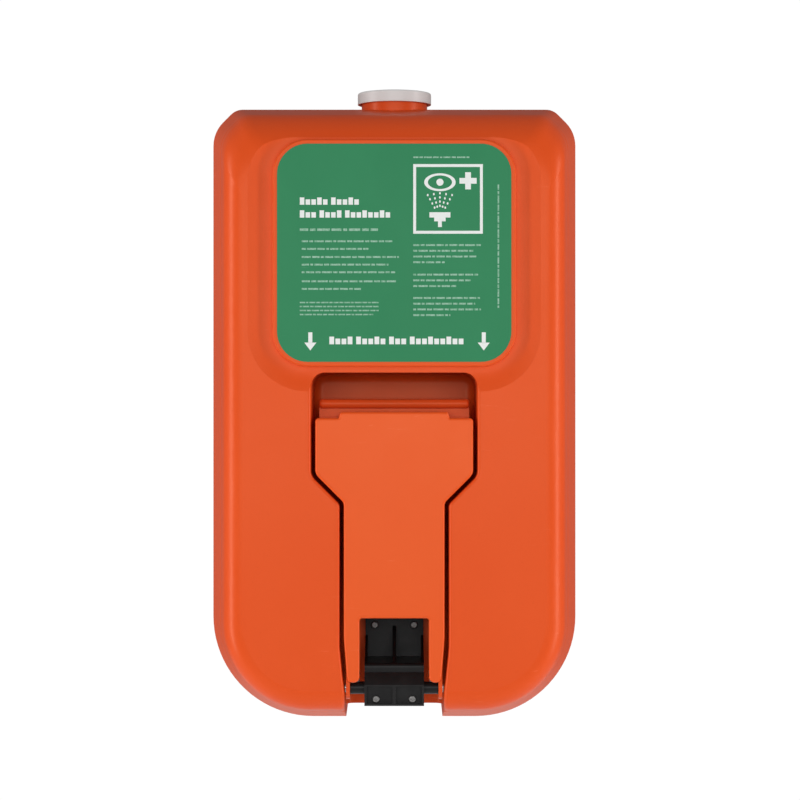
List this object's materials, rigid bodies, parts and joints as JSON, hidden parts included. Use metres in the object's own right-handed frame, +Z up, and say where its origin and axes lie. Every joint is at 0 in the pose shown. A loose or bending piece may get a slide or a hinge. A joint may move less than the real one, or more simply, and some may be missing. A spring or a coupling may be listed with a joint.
{
  "type": "gravity-fed eyewash station",
  "caption": "Wall-hung moulded water tank with a pull-down arm that swings forward, opens the hinge valve and sprays both eyes.",
  "frame": {"origin": "centre of the wall bracket's four bolt holes, on the wall plane", "axes": "+Z up, -Y out of the wall towards the user, +X to the user's right"},
  "size_m": [0.394, 0.264, 0.6823],
  "materials": {
    "orange_polyethylene": "satin rotomoulded polyethylene",
    "white_plastic": "satin moulded polypropylene",
    "green_label": "printed vinyl",
    "black_plastic": "glass-filled nylon, satin",
    "grey_plastic": "moulded",
    "rubber": "moulded rubber",
    "clear_hose": "reinforced hose",
    "steel": "brushed stainless",
    "brass": "turned"
  },
  "bodies": {
    "tank": {"tank_shell": "orange_polyethylene", "instruction_label": "green_label", "wall_bracket": "steel", "tank_cleat": "steel", "cleat_screws": "steel", "wall_bumpers": "rubber", "outlet_fitting": "brass", "outlet_seal": "rubber", "outlet_nut": "brass", "strainer": "grey_plastic", "valve_body": "black_plastic", "bearing_cap": "black_plastic", "threaded_inserts": "brass", "upper_valve_screws": "steel", "bearing_cap_screws": "steel"},
    "arm": {"valve_rotor": "black_plastic", "rotor_seals": "rubber", "pivot_screws": "steel", "arm_shell": "orange_polyethylene", "arm_tray": "orange_polyethylene", "arm_screws": "steel", "elbow_left": "grey_plastic", "elbow_right": "grey_plastic", "spray_head_left": "white_plastic", "spray_head_right": "white_plastic", "hose_left": "clear_hose", "hose_right": "clear_hose", "nozzle_nuts": "grey_plastic", "spray_screens": "steel", "hose_clamps": "steel"},
    "cap_seal": {"cap_gasket": "rubber"},
    "cap": {"fill_cap": "white_plastic", "vent_plug": "grey_plastic"}
  },
  "joints": [
    {"name": "arm_pull", "type": "hinge", "parent": "tank", "child": "arm", "pos_m": [0, -0.2405, -0.4805], "axis": [1, 0, 0], "range_deg": [0, 90]},
    {"name": "cap_lift", "type": "slide", "parent": "tank", "child": "cap_seal", "axis": [0, 0, 1], "range_m": [0, 0.06]},
    {"name": "cap_turn", "type": "hinge", "parent": "cap_seal", "child": "cap", "pos_m": [0, -0.14, 0.15], "axis": [0, 0, 1], "range_deg": [0, 1800]}
  ],
  "couplings": [
    {"joint": "cap_lift", "follows": "cap_turn", "m_per_rad": 0.0019099}
  ]
}
